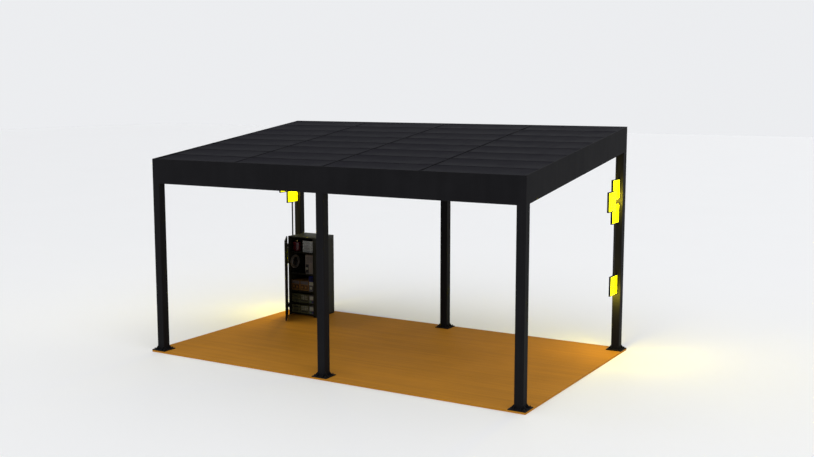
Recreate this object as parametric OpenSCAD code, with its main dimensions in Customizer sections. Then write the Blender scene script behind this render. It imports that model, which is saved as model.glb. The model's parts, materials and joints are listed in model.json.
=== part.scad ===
// Pergola with a mono-pitch panel roof, six square posts, a floor sheet, two lamp clusters
// and an equipment cabinet with a hinged door. Millimetres, +Z up, low roof edge at -Y.
// The origin is at the middle of the floor's underside.

/* [Overall size] */
// Length of the roof along its front edge
roof_l = 6000; // [4800:50:7800]
// Depth of the roof in plan, from the low front edge to the high back edge
roof_d = 3600; // [3000:50:4800]
// Height of the roof's top edge at the front, above the ground
front_h = 2900; // [2700:10:3600]
// Rise of the roof from its front edge to its back edge
roof_rise = 470; // [200:10:700]

/* [Floor] */
// Thickness of the floor sheet
deck_t = 25; // [15:1:60]

/* [Posts and bases] */
// Side of the square posts, and width of the roof beams
post_w = 125; // [100:5:150]
// Wall of the posts
post_wall = 5; // [3:1:10]
// Outer corner radius of the posts and of the roof frame
corner_r = 10; // [7:1:11]
// Side of the square base plates
base_w = 240; // [225:5:300]
// Thickness of the base plates
base_t = 12; // [8:1:25]
// Height of the gussets on the base plates
gusset_h = 55; // [30:5:90]
// Thickness of the gussets
gusset_t = 8; // [5:1:12]
// Distance from the foot of a gusset to the plate's edge
gusset_margin = 6; // [2:1:20]
// Distance between the anchor holes of a base plate
anchor_pitch = 180; // [170:5:200]
// Diameter of the anchor holes
anchor_d = 14; // [10:1:18]

/* [Roof frame] */
// Depth of the perimeter beams
beam_h = 360; // [220:10:450]
// Wall of the beams, rafters and rails
section_wall = 4; // [3:1:6]
// Width of the lip that rises beside the panels
lip_w = 12; // [8:1:20]
// Width of the three rafters
rafter_w = 80; // [60:5:120]
// Depth of the rafters
rafter_h = 160; // [100:10:200]
// Width of the rails under the joints between panel rows
rail_w = 60; // [50:5:100]
// Depth of the rails
rail_h = 60; // [40:5:100]

/* [Roof panels] */
// Number of panel rows from the front to the back
panel_rows = 8; // [5:1:10]
// Thickness of the panels
panel_t = 30; // [20:1:50]
// Gap between two rows of panels
row_gap = 26; // [10:1:36]
// Gap between two columns of panels
col_gap = 32; // [10:1:44]
// Gap between the outer panels and the lip
lip_gap = 2; // [1:1:6]

/* [Lamps] */
// Side of the square lamps
lamp_w = 295; // [200:5:310]
// Thickness of a lamp's frame
lamp_t = 28; // [20:1:40]
// Width of a lamp's frame around its pane
lamp_rim = 13; // [8:1:25]
// Depth of the pane below the frame's two faces
pane_inset = 3; // [1:1:6]
// Height of the lower edge of the upper lamp
upper_lamp_z = 2315; // [2290:5:2330]
// Height of the lower edge of the middle lamp
middle_lamp_z = 2155; // [2110:5:2200]
// Height of the lower edge of the lower lamp
lower_lamp_z = 1957; // [1800:5:1970]
// Height of the lower edge of the low lamp
low_lamp_z = 890; // [600:5:1400]
// Distance by which the middle lamp stands further from the post
middle_lamp_shift = 240; // [200:5:270]
// Diameter of the rod between the lamps
rod_d = 25; // [12:1:28]

/* [Cabinet] */
// Width of the cabinet
cab_w = 600; // [500:5:720]
// Depth of the cabinet
cab_d = 515; // [430:5:620]
// Height of the cabinet
cab_h = 1380; // [1330:5:1680]
// Thickness of the cabinet's panels
cab_t = 18; // [12:1:22]
// Gap between the cabinet and the base plate beside it
cab_side_gap = 5; // [5:1:60]
// Distance from the cabinet's back to the roof's back edge
cab_back_gap = 60; // [30:5:300]
// Height of the cabinet's bottom panel above the floor
plinth_h = 22; // [10:1:40]
// Width of the closed strip on the right of the cabinet's front
stile_w = 82; // [50:1:100]
// Height of the lowest shelf's top above the floor
shelf_1_z = 227; // [215:1:240]
// Height of the second shelf's top above the floor
shelf_2_z = 437; // [425:1:450]
// Height of the third shelf's top above the floor
shelf_3_z = 741; // [730:1:760]
// Height of the highest shelf's top above the floor
shelf_4_z = 1115; // [1100:1:1130]

/* [Cabinet door] */
// Thickness of the door
door_t = 18; // [12:1:30]
// Gap between the closed door and the cabinet's front
door_gap = 5; // [5:1:10]
// Gap between the door and the floor
door_foot = 15; // [8:1:30]
// Distance from the door's side and top edges to the cabinet's outline
door_margin = 2; // [1:1:6]
// Angle of the door at rest, counted from closed
door_open = 56; // [0:1:110]
// Radius of the hinge knuckles
knuckle_r = 6; // [5:1:9]
// Radius of the hinge pins
pin_r = 3; // [2:0.5:4]
// Thickness of the hinge leaves
leaf_t = 3; // [2:1:4]
// Width of the hinge leaves on the cabinet's side
leaf_w = 40; // [25:5:80]
// Height of a hinge
hinge_h = 80; // [60:5:120]
// Distance from a hinge to the door's end
hinge_inset = 130; // [80:5:300]

/* [Equipment] */
// Gap between neighbouring units and beside them
unit_gap = 12; // [6:1:16]
// Distance from the cabinet's front edge to the faces of the units
unit_setback = 45; // [30:1:80]
// Gap behind the units
unit_back_gap = 20; // [10:1:60]
// Height of the battery modules
battery_h = 138; // [100:1:145]
// Height of the terminal boxes
terminal_box_h = 172; // [120:1:175]
// Height of the supply unit that stands on the right terminal box
supply_h = 92; // [60:1:96]
// Width of the power box
power_box_w = 190; // [140:5:210]
// Height of the power box
power_box_h = 330; // [250:5:340]
// Width of the inverter
inverter_w = 240; // [180:5:242]
// Height of the inverter
inverter_h = 195; // [120:5:200]
// Depth of the inverter with its face plates
inverter_d = 280; // [200:5:350]
// Number of face plates above one another on the inverter
plate_count = 4; // [2:1:4]
// Height of a face plate
plate_h = 42; // [20:1:45]
// Depth of a face plate
plate_d = 18; // [10:1:30]
// Diameter of the red canister
canister_d = 150; // [100:5:160]
// Height of the red canister without its neck
canister_h = 165; // [100:5:175]
// Diameter of the canister's neck
neck_d = 44; // [25:1:80]
// Height of the canister's neck
neck_h = 24; // [10:1:30]
// Outer diameter of the fan ring on the left wall
fan_d = 235; // [180:5:300]
// Inner diameter of the fan ring
fan_bore = 170; // [100:5:175]
// Thickness of the fan ring
fan_t = 34; // [20:1:60]

/* [Hidden] */
$fn = 48;

// Overshoot of cuts beyond the faces they cut
cut = 2;
// Running clearance between a hinge pin and the door's knuckle
pin_clear = 0.05;
// Clearance between two hinge knuckles, and beside them
knuckle_clear = 0.5;
// Seat gap between the middle lamp and the two lamps behind it
lamp_seat = 0.3;
// Seat gap under the roof panels
panel_seat = 0.05;
// Length by which joined shapes of one solid run into each other
overlap = 1;

// Roof grid
bays = 4;
bay_pitch = roof_l / bays;
row_pitch = roof_d / panel_rows;
beam_w = post_w;

// Plan places of the posts' middles
post_x = roof_l / 2 - post_w / 2;
post_y = roof_d / 2 - post_w / 2;
base_top = deck_t + base_t;
deck_l = roof_l + base_w - post_w;
deck_d = roof_d + base_w - post_w;

// Cabinet box
cab_x0 = -post_x + base_w / 2 + cab_side_gap;
cab_x1 = cab_x0 + cab_w;
cab_y1 = roof_d / 2 - cab_back_gap;
cab_y0 = cab_y1 - cab_d;
cab_z1 = deck_t + cab_h;
bay_z0 = deck_t + plinth_h + cab_t;
in_x0 = cab_x0 + cab_t;
in_x1 = cab_x1 - cab_t;
in_y1 = cab_y1 - cab_t;
unit_y0 = cab_y0 + unit_setback;
unit_d = in_y1 - unit_back_gap - unit_y0;
canister_x0 = in_x0 + unit_gap;
units_across = 3;
unit_w = (cab_w - 2 * cab_t - (units_across + 1) * unit_gap) / units_across;
hinge_x = cab_x0 - leaf_t - knuckle_clear - knuckle_r;
hinge_zs = [deck_t + hinge_inset, cab_z1 - hinge_inset - hinge_h];
knuckle_h = hinge_h / 4;

// Height of the roof's top plane at a place along the depth
function roof_z(y) = front_h + roof_rise * (y + roof_d / 2) / roof_d;

// A box given by its lowest and highest corners
module block(low, high) {
    translate(low) cube(high - low);
}

// A block that follows the roof: x and y are in plan, top and bottom are depths below the roof's plane
module roof_block(x0, x1, y0, y1, top, bottom) {
    translate([x0, 0, 0])
        rotate([90, 0, 90])
            linear_extrude(x1 - x0)
                polygon([[y0, roof_z(y0) - bottom], [y1, roof_z(y1) - bottom],
                         [y1, roof_z(y1) - top], [y0, roof_z(y0) - top]]);
}

// A roof block with the same inset from all four edges of the roof
module roof_slab(inset, top, bottom) {
    roof_block(-roof_l / 2 + inset, roof_l / 2 - inset,
               -roof_d / 2 + inset, roof_d / 2 - inset, top, bottom);
}

// A hollow section that follows the roof, open at the ends that along names
module roof_tube(x0, x1, y0, y1, top, bottom, along) {
    tx = along == "x" ? -cut : section_wall;
    ty = along == "y" ? -cut : section_wall;
    difference() {
        roof_block(x0, x1, y0, y1, top, bottom);
        roof_block(x0 + tx, x1 - tx, y0 + ty, y1 - ty, top + section_wall, bottom - section_wall);
    }
}

// Outline of a rounded rectangle about the origin
module rounded(l, w, r) {
    square([l - 2 * r, w], center = true);
    square([l, w - 2 * r], center = true);
    for (sx = [-1, 1], sy = [-1, 1])
        translate([sx * (l / 2 - r), sy * (w / 2 - r)])
            circle(r);
}

// Floor sheet with clear holes under the anchor holes of the bases
module floor_deck() {
    color("peru")
        difference() {
            translate([-deck_l / 2, -deck_d / 2, 0])
                cube([deck_l, deck_d, deck_t]);
            for (px = [-1, 0, 1], py = [-1, 1])
                translate([px * post_x, py * post_y, -cut])
                    anchor_holes(deck_t + 2 * cut);
        }
}

// Four upright cylinders on the anchor pattern
module anchor_holes(h) {
    for (sx = [-1, 1], sy = [-1, 1])
        translate([sx * anchor_pitch / 2, sy * anchor_pitch / 2, 0])
            cylinder(h = h, d = anchor_d);
}

// Hollow post whose top is cut to the slope of the beams; px and py are -1, 0 or 1
module post(px, py) {
    y0 = py * post_y - post_w / 2;
    y1 = py * post_y + post_w / 2;
    color("dimgray")
        intersection() {
            translate([px * post_x, py * post_y, 0])
                linear_extrude(front_h + roof_rise)
                    difference() {
                        rounded(post_w, post_w, corner_r);
                        rounded(post_w - 2 * post_wall, post_w - 2 * post_wall, corner_r - post_wall);
                    }
            translate([px * post_x - post_w, 0, 0])
                rotate([90, 0, 90])
                    linear_extrude(2 * post_w)
                        polygon([[y0 - cut, base_top], [y1 + cut, base_top],
                                 [y1 + cut, roof_z(y1 + cut) - beam_h],
                                 [y0 - cut, roof_z(y0 - cut) - beam_h]]);
        }
}

// Base plate with two gussets against each face of the post
module base(px, py) {
    reach = (base_w - post_w) / 2 - gusset_margin;
    color("dimgray")
        translate([px * post_x, py * post_y, deck_t]) {
            difference() {
                translate([-base_w / 2, -base_w / 2, 0])
                    cube([base_w, base_w, base_t]);
                translate([0, 0, -cut])
                    anchor_holes(base_t + 2 * cut);
            }
            for (turn = [0:90:270], side = [-1, 1])
                rotate([0, 0, turn])
                    translate([post_w / 2, side * (post_w / 2 - corner_r - gusset_t / 2) + gusset_t / 2, base_t])
                        rotate([90, 0, 0])
                            linear_extrude(gusset_t)
                                polygon([[0, 0], [reach, 0], [0, gusset_h]]);
        }
}

// The four perimeter beams as one hollow ring with a ledge for the panels
module beam_ring() {
    difference() {
        intersection() {
            roof_slab(0, 0, beam_h);
            linear_extrude(front_h + roof_rise + cut)
                rounded(roof_l, roof_d, corner_r);
        }
        roof_slab(beam_w, -cut, beam_h + cut);
        roof_slab(lip_w, -cut, panel_t);
        difference() {
            roof_slab(section_wall, panel_t + section_wall, beam_h - section_wall);
            roof_slab(beam_w - section_wall, panel_t, beam_h);
        }
    }
}

// A beam cut from the ring by mitres; along is the half length of its outer edge, across the half depth
module mitred_beam(turn, along, across) {
    color("dimgray")
        intersection() {
            beam_ring();
            rotate([0, 0, turn])
                linear_extrude(front_h + roof_rise + cut)
                    polygon([[-along - cut, -across - cut], [along + cut, -across - cut],
                             [along - beam_w - cut, -across + beam_w + cut],
                             [-along + beam_w + cut, -across + beam_w + cut]]);
        }
}

// Hollow rafter under the joint between two bays
module rafter(i) {
    x = i * bay_pitch;
    color("dimgray")
        roof_tube(x - rafter_w / 2, x + rafter_w / 2, -roof_d / 2 + beam_w, roof_d / 2 - beam_w,
                  panel_t, panel_t + rafter_h, "y");
}

// Left and right edges of the clear space in a bay, between the beams and rafters
function bay_x0(i) = i == 0 ? -roof_l / 2 + beam_w : -roof_l / 2 + i * bay_pitch + rafter_w / 2;
function bay_x1(i) = i == bays - 1 ? roof_l / 2 - beam_w : -roof_l / 2 + (i + 1) * bay_pitch - rafter_w / 2;

// Hollow rails under the joints between the rows, one length in each bay
module roof_rails() {
    color("dimgray")
        for (i = [0:bays - 1], k = [1:panel_rows - 1]) {
            y = -roof_d / 2 + k * row_pitch;
            roof_tube(bay_x0(i), bay_x1(i), y - rail_w / 2, y + rail_w / 2,
                      panel_t, panel_t + rail_h, "x");
        }
}

// The panels of one bay, each a separate sheet
module roof_panels(i) {
    edge = lip_w + lip_gap;
    x0 = -roof_l / 2 + (i == 0 ? edge : i * bay_pitch + col_gap / 2);
    x1 = -roof_l / 2 + (i == bays - 1 ? roof_l - edge : (i + 1) * bay_pitch - col_gap / 2);
    color("darkslategray")
        for (k = [0:panel_rows - 1]) {
            y0 = -roof_d / 2 + (k == 0 ? edge : k * row_pitch + row_gap / 2);
            y1 = -roof_d / 2 + (k == panel_rows - 1 ? roof_d - edge : (k + 1) * row_pitch - row_gap / 2);
            roof_block(x0, x1, y0, y1, 0, panel_t - panel_seat);
        }
}

// Puts its children at each lamp of the cluster on the left (-1) or right (1) back post
module at_lamps(side) {
    x = side * post_x - lamp_t / 2;
    y = roof_d / 2 - post_w - lamp_w;
    translate([x, y, upper_lamp_z])
        children();
    translate([x + lamp_t + lamp_seat, y - middle_lamp_shift, middle_lamp_z])
        children();
    translate([x, y, lower_lamp_z])
        children();
    translate([x, y, low_lamp_z])
        children();
}

// Square frames of the lamps
module lamp_frames(side) {
    inner = lamp_w - 2 * lamp_rim;
    color("dimgray")
        at_lamps(side)
            difference() {
                cube([lamp_t, lamp_w, lamp_w]);
                translate([-cut, lamp_rim, lamp_rim])
                    cube([lamp_t + 2 * cut, inner, inner]);
            }
}

// Luminous panes in the frames
module lamp_panes(side) {
    inner = lamp_w - 2 * lamp_rim;
    color("yellow")
        at_lamps(side)
            translate([pane_inset, lamp_rim, lamp_rim])
                cube([lamp_t - 2 * pane_inset, inner, inner]);
}

// Rods that join the lamps in line with the post
module lamp_rods(side) {
    color("dimgray")
        translate([side * post_x, roof_d / 2 - post_w - lamp_w / 2, 0]) {
            translate([0, 0, low_lamp_z + lamp_w])
                cylinder(h = lower_lamp_z - low_lamp_z - lamp_w, d = rod_d);
            translate([0, 0, lower_lamp_z + lamp_w])
                cylinder(h = upper_lamp_z - lower_lamp_z - lamp_w, d = rod_d);
        }
}

// Side panels of the cabinet
module cabinet_left_side() {
    color("gray")
        block([cab_x0, cab_y0, deck_t], [in_x0, cab_y1, cab_z1 - cab_t]);
}

module cabinet_right_side() {
    color("gray")
        block([in_x1, cab_y0, deck_t], [cab_x1, cab_y1, cab_z1 - cab_t]);
}

// Closed strip at the right of the cabinet's front
module cabinet_stile() {
    color("gray")
        block([cab_x1 - stile_w, cab_y0, deck_t], [in_x1, cab_y0 + cab_t, cab_z1 - cab_t]);
}

// Back panel between the sides
module cabinet_back() {
    color("gray")
        block([in_x0, in_y1, deck_t], [in_x1, cab_y1, cab_z1 - cab_t]);
}

// Top panel over the sides
module cabinet_top() {
    color("gray")
        block([cab_x0, cab_y0, cab_z1 - cab_t], [cab_x1, cab_y1, cab_z1]);
}

// Bottom panel, raised above the floor
module cabinet_bottom() {
    color("gray")
        block([in_x0, cab_y0 + cab_t, bay_z0 - cab_t], [in_x1, in_y1, bay_z0]);
}

// Four shelves between the sides
module cabinet_shelves() {
    color("gray")
        for (z = [shelf_1_z, shelf_2_z, shelf_3_z, shelf_4_z])
            block([in_x0, cab_y0 + cab_t, deck_t + z - cab_t], [in_x1, in_y1, deck_t + z]);
}

// Fixed halves of the door's hinges: a leaf on the cabinet's side, two knuckles and the pin
module cabinet_hinges() {
    color("silver")
        for (z = hinge_zs)
            translate([hinge_x, cab_y0, z]) {
                translate([cab_x0 - hinge_x - leaf_t, 0, 0])
                    cube([leaf_t, leaf_w, hinge_h]);
                for (kz = [0, hinge_h - knuckle_h])
                    translate([0, 0, kz]) {
                        cylinder(h = knuckle_h, r = knuckle_r);
                        cube([cab_x0 - hinge_x - leaf_t, leaf_t, knuckle_h]);
                    }
                cylinder(h = hinge_h, r = pin_r);
            }
}

// Door leaf with the moving knuckles, turned about the hinge line to its resting angle
module cabinet_door() {
    edge = cab_x0 - hinge_x + door_margin;
    kz = knuckle_h + knuckle_clear;
    kh = hinge_h - 2 * kz;
    color("dimgray")
        translate([hinge_x, cab_y0, 0])
            rotate([0, 0, -door_open]) {
                block([edge, -door_gap - door_t, deck_t + door_foot],
                      [edge + cab_w - 2 * door_margin, -door_gap, cab_z1 - door_margin]);
                for (z = hinge_zs)
                    translate([0, 0, z + kz])
                        difference() {
                            union() {
                                cylinder(h = kh, r = knuckle_r);
                                translate([0, -door_gap - leaf_t, 0])
                                    cube([edge + leaf_t, leaf_t + overlap, kh]);
                            }
                            translate([0, 0, -cut])
                                cylinder(h = kh + 2 * cut, r = pin_r + pin_clear);
                        }
            }
}

// Left edge of one of the like units that stand side by side
function unit_x(i) = in_x0 + unit_gap + i * (unit_w + unit_gap);

// Battery modules in the two lowest compartments
module battery_modules() {
    color("darkkhaki")
        for (z = [bay_z0, deck_t + shelf_1_z], i = [0:units_across - 1])
            translate([unit_x(i), unit_y0, z])
                cube([unit_w, unit_d, battery_h]);
}

// Terminal boxes in the third compartment
module terminal_boxes() {
    color("tan")
        for (i = [0:units_across - 1])
            translate([unit_x(i), unit_y0, deck_t + shelf_2_z])
                cube([unit_w, unit_d, terminal_box_h]);
}

// Supply unit on the right terminal box
module supply_unit() {
    color("navy")
        translate([unit_x(units_across - 1), unit_y0, deck_t + shelf_2_z + terminal_box_h])
            cube([unit_w, unit_d, supply_h]);
}

// Power box at the right of the fourth compartment
module power_box() {
    color("silver")
        translate([cab_x1 - stile_w - power_box_w, unit_y0, deck_t + shelf_3_z])
            cube([power_box_w, unit_d, power_box_h]);
}

// Inverter with face plates above one another, in the top compartment: its right edge is in line
// with the stile, or further right where the canister needs the room
module inverter() {
    pitch = (inverter_h - plate_h) / (plate_count - 1);
    x = max(cab_x1 - stile_w - inverter_w, canister_x0 + canister_d + unit_gap);
    color("gainsboro")
        translate([x, unit_y0, deck_t + shelf_4_z]) {
            translate([0, plate_d, 0])
                cube([inverter_w, inverter_d - plate_d, inverter_h]);
            for (i = [0:plate_count - 1])
                translate([0, 0, i * pitch])
                    cube([inverter_w, plate_d + overlap, plate_h]);
        }
}

// Canister with a neck, at the left of the top compartment
module red_canister() {
    color("firebrick")
        translate([canister_x0 + canister_d / 2, unit_y0 + canister_d / 2, deck_t + shelf_4_z]) {
            cylinder(h = canister_h, d = canister_d);
            cylinder(h = canister_h + neck_h, d = neck_d);
        }
}

// Fan ring on the inner face of the cabinet's left side, over the third shelf
module fan_ring() {
    color("gainsboro")
        translate([in_x0, cab_y0 + cab_t + unit_gap + fan_d / 2,
                   deck_t + (shelf_3_z + shelf_4_z - cab_t) / 2])
            rotate([0, 90, 0])
                difference() {
                    cylinder(h = fan_t, d = fan_d);
                    translate([0, 0, -cut])
                        cylinder(h = fan_t + 2 * cut, d = fan_bore);
                }
}

floor_deck();
post(-1, -1);  // post_front_left
post(0, -1);  // post_front_middle
post(1, -1);  // post_front_right
post(-1, 1);  // post_back_left
post(0, 1);  // post_back_middle
post(1, 1);  // post_back_right
base(-1, -1);  // base_front_left
base(0, -1);  // base_front_middle
base(1, -1);  // base_front_right
base(-1, 1);  // base_back_left
base(0, 1);  // base_back_middle
base(1, 1);  // base_back_right
mitred_beam(0, roof_l / 2, roof_d / 2);  // beam_front
mitred_beam(180, roof_l / 2, roof_d / 2);  // beam_back
mitred_beam(-90, roof_d / 2, roof_l / 2);  // beam_left
mitred_beam(90, roof_d / 2, roof_l / 2);  // beam_right
rafter(-1);  // rafter_left
rafter(0);  // rafter_middle
rafter(1);  // rafter_right
roof_rails();
roof_panels(0);  // roof_panels_1
roof_panels(1);  // roof_panels_2
roof_panels(2);  // roof_panels_3
roof_panels(3);  // roof_panels_4
lamp_frames(-1);  // lamp_frames_left
lamp_frames(1);  // lamp_frames_right
lamp_panes(-1);  // lamp_panes_left
lamp_panes(1);  // lamp_panes_right
lamp_rods(-1);  // lamp_rods_left
lamp_rods(1);  // lamp_rods_right
cabinet_left_side();
cabinet_right_side();
cabinet_stile();
cabinet_back();
cabinet_top();
cabinet_bottom();
cabinet_shelves();
cabinet_hinges();
cabinet_door();
battery_modules();
terminal_boxes();
supply_unit();
power_box();
inverter();
red_canister();
fan_ring();
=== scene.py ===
import json
import math

import bpy
from mathutils import Matrix, Vector


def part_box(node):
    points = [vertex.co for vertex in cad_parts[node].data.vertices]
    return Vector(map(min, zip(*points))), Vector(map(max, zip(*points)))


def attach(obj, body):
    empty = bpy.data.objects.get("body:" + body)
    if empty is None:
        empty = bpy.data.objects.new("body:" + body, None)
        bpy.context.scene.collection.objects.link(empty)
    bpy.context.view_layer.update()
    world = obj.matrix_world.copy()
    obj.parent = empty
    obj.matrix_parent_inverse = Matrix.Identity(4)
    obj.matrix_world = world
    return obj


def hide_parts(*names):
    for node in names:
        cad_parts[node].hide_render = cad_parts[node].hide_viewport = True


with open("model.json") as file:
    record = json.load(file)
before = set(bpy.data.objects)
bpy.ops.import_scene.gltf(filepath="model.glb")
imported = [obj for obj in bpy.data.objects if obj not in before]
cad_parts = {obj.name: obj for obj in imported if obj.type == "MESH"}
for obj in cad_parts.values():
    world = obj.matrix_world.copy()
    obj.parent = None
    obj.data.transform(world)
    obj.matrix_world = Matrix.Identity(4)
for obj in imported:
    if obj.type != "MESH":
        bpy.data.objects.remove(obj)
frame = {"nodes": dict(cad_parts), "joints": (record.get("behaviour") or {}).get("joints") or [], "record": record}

bl_info = {
    "name": "Pergola looks",
    "version": (1, 0, 0),
    "blender": (4, 5, 0),
    "location": "View3D > Sidebar > Pergola",
    "description": "Finishes and small pieces of a panel-roofed pergola with an equipment cabinet",
    "category": "Object",
}

STRUCTURE = "structure"
DOOR = "door"
POSTS = ["front_left", "front_middle", "front_right", "back_left", "back_middle", "back_right"]
RECORD = frame["record"]
MOUNTS = {mount["name"]: mount for mount in RECORD["mounts"]}
HINGE = frame["joints"][0]
DOOR_REST = math.radians(HINGE["range_deg"][1])
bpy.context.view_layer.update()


# ---------------------------------------------------------------- settings

class PergolaSizes(bpy.types.PropertyGroup):
    """Sizes of the small pieces, in metres"""
    edge_round: bpy.props.FloatProperty(
        name="Edge rounding", description="Bevel on sheet and panel edges", default=0.002, unit="LENGTH")
    panel_border: bpy.props.FloatProperty(
        name="Panel border", description="Width of the frame around a roof panel's sheet",
        default=0.014, unit="LENGTH")
    panel_sink: bpy.props.FloatProperty(
        name="Panel sink", description="Depth of a roof panel's sheet below its frame",
        default=0.0015, unit="LENGTH")
    # The seals reach this close to the surface so that their very dark tops paint the shade in the roof's joints.
    seal_depth: bpy.props.FloatProperty(
        name="Seal depth", description="Depth of the rubber seals below the roof's surface",
        default=0.005, unit="LENGTH")
    bolt_size: bpy.props.FloatProperty(
        name="Anchor bolt", description="Diameter of the anchor bolts", default=0.012, unit="LENGTH")
    screw_size: bpy.props.FloatProperty(
        name="Screw head", description="Diameter of the small screw heads", default=0.009, unit="LENGTH")
    cleat_leg: bpy.props.FloatProperty(
        name="Cleat leg", description="Leg of the angle cleats at the rafters' ends",
        default=0.05, unit="LENGTH")


class PergolaColours(bpy.types.PropertyGroup):
    """Colours of the finishes"""
    metal: bpy.props.FloatVectorProperty(
        name="Frame", description="Powder coat of the posts and beams", subtype="COLOR", size=3,
        default=(0.0090, 0.0088, 0.0100))
    panel: bpy.props.FloatVectorProperty(
        name="Roof panels", description="Matt face of the roof panels", subtype="COLOR", size=3,
        default=(0.0105, 0.0100, 0.0135))
    floor: bpy.props.FloatVectorProperty(
        name="Floor sheet", description="Oiled wood composite of the floor", subtype="COLOR", size=3,
        default=(0.440, 0.190, 0.020))
    lamp: bpy.props.FloatVectorProperty(
        name="Lamp light", description="Colour of the luminous panes", subtype="COLOR", size=3,
        default=(1.0, 0.95, 0.0))
    cabinet: bpy.props.FloatVectorProperty(
        name="Cabinet", description="Coat of the cabinet's panels", subtype="COLOR", size=3,
        default=(0.016, 0.016, 0.009))
    ground: bpy.props.FloatVectorProperty(
        name="Ground", description="Pale stage under the pergola", subtype="COLOR", size=3,
        default=(0.93, 0.93, 0.93))


# ---------------------------------------------------------------- shader maths

class Field:
    """A value that varies over a surface: an output socket that takes part in arithmetic."""

    def __init__(self, paint, socket):
        self.paint = paint
        self.socket = socket

    def math(self, operation, *values):
        return self.paint.node("ShaderNodeMath", {"operation": operation}, dict(enumerate(values)))

    def __add__(self, other):
        return self.math("ADD", self, other)

    def __radd__(self, other):
        return self.math("ADD", other, self)

    def __sub__(self, other):
        return self.math("SUBTRACT", self, other)

    def __rsub__(self, other):
        return self.math("SUBTRACT", other, self)

    def __mul__(self, other):
        return self.math("MULTIPLY", self, other)

    def __rmul__(self, other):
        return self.math("MULTIPLY", other, self)

    def smooth(self, low, high):
        """Rises from 0 to 1 as the value goes from low to high."""
        settings = {"interpolation_type": "SMOOTHSTEP"}
        return self.paint.node("ShaderNodeMapRange", settings, {"Value": self, "From Min": low, "From Max": high})


class Paint:
    """The material of one finish and its node tree."""

    def __init__(self, name, **constants):
        self.material = bpy.data.materials.new(name)
        self.material.use_nodes = True
        self.tree = self.material.node_tree
        self.shader = self.tree.nodes["Principled BSDF"]
        for socket, value in constants.items():
            self.shader.inputs[socket.replace("_", " ")].default_value = value
        self.place = self.node("ShaderNodeTexCoord", {}, {}, "Object")

    def node(self, kind, settings, inputs, output=0):
        """Adds a node of that kind, sets it up and returns one of its outputs as a Field."""
        made = self.tree.nodes.new(kind)
        for key, value in settings.items():
            setattr(made, key, value)
        for key, value in inputs.items():
            if isinstance(value, Field):
                self.tree.links.new(value.socket, made.inputs[key])
            else:
                made.inputs[key].default_value = value
        return Field(self, made.outputs[output])

    def stretched(self, scale, turn=(0.0, 0.0, 0.0)):
        """Object coordinates scaled for a pattern, in cells per metre along each axis."""
        return self.node("ShaderNodeMapping", {}, {"Vector": self.place, "Scale": scale, "Rotation": turn})

    def noise(self, scale, detail=3.0, roughness=0.55, where=None):
        inputs = {"Vector": where or self.place, "Scale": scale, "Detail": detail, "Roughness": roughness}
        return self.node("ShaderNodeTexNoise", {"noise_dimensions": "3D"}, inputs)

    def mix(self, share, first, second):
        """A colour between first and second."""
        colours = [c if isinstance(c, Field) else (*c, 1.0) for c in (first, second)]
        inputs = {0: share, 6: colours[0], 7: colours[1]}
        return self.node("ShaderNodeMix", {"data_type": "RGBA"}, inputs, 2)

    def feed(self, socket, field):
        self.tree.links.new(field.socket, self.shader.inputs[socket])

    def bump(self, height, strength, distance):
        inputs = {"Height": height, "Strength": strength, "Distance": distance}
        self.feed("Normal", self.node("ShaderNodeBump", {}, inputs))


def shade(colour, factor):
    """The same colour, lighter or darker."""
    return tuple(min(1.0, part * factor) for part in colour[:3])


def coated(name, colour, rough, coat_grain=420.0, dust=1.5, spread=0.10, **constants):
    """Powder-coated sheet: an even colour with cloudy patches, fine orange peel and a little dust."""
    paint = Paint(name, **constants)
    cloud = paint.noise(1.7, 4.0)
    streak = paint.noise(1.0, 3.0, where=paint.stretched((9.0, 9.0, 0.8)))
    speck = paint.noise(95.0, 2.0)
    share = (cloud * 0.6 + streak * 0.4).smooth(0.38, 0.70)
    base = paint.mix(share, shade(colour, 0.86), shade(colour, 1.14))
    paint.feed("Base Color", paint.mix(speck.smooth(0.66, 0.80) * 0.5, base, shade(colour, dust)))
    paint.feed("Roughness", share * spread + speck * 0.06 + (rough - spread / 2))
    paint.bump(paint.noise(coat_grain, 2.0), 0.10, 0.0006)
    return paint.material


def plastic(name, colour, rough, ribs=None):
    """Moulded plastic with a fine spark-eroded texture and slightly paler rubbed patches."""
    paint = Paint(name)
    rub = paint.noise(14.0, 4.0).smooth(0.45, 0.75)
    paint.feed("Base Color", paint.mix(rub, colour, shade(colour, 1.22)))
    paint.feed("Roughness", rough - rub * 0.12)
    paint.bump(paint.noise(900.0, 2.0), 0.25, 0.0004)
    return paint.material


def metal(name, colour, rough, grain=(30.0, 30.0, 900.0)):
    """Bare metal with a drawn grain."""
    paint = Paint(name, Metallic=1.0)
    lines = paint.noise(1.0, 2.0, where=paint.stretched(grain))
    stain = paint.noise(11.0, 4.0).smooth(0.4, 0.75)
    paint.feed("Base Color", paint.mix(stain, colour, shade(colour, 0.72)))
    paint.feed("Roughness", lines * 0.16 + stain * 0.10 + (rough - 0.1))
    paint.bump(lines, 0.15, 0.0003)
    return paint.material


def floor_finish(colour):
    """Oiled wood composite: long soft grain, fine fibres and a few broad tone changes."""
    paint = Paint("floor_composite", Specular_IOR_Level=0.02)
    warp = paint.noise(0.9, 3.0)
    along = paint.stretched((0.55, 16.0, 16.0))
    grain = paint.noise(1.0, 6.0, 0.62, where=along)
    fibre = paint.noise(1.0, 3.0, where=paint.stretched((9.0, 420.0, 420.0)))
    tone = (grain * 0.65 + warp * 0.35).smooth(0.34, 0.68)
    wood = paint.mix(tone, shade(colour, 0.88), shade(colour, 1.10))
    paint.feed("Base Color", paint.mix(fibre.smooth(0.50, 0.72) * 0.35, wood, shade(colour, 0.74)))
    paint.feed("Roughness", 0.50 + grain * 0.16 - warp * 0.06)
    paint.bump(grain * 0.4 + fibre * 0.6, 0.16, 0.0008)
    return paint.material


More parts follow.
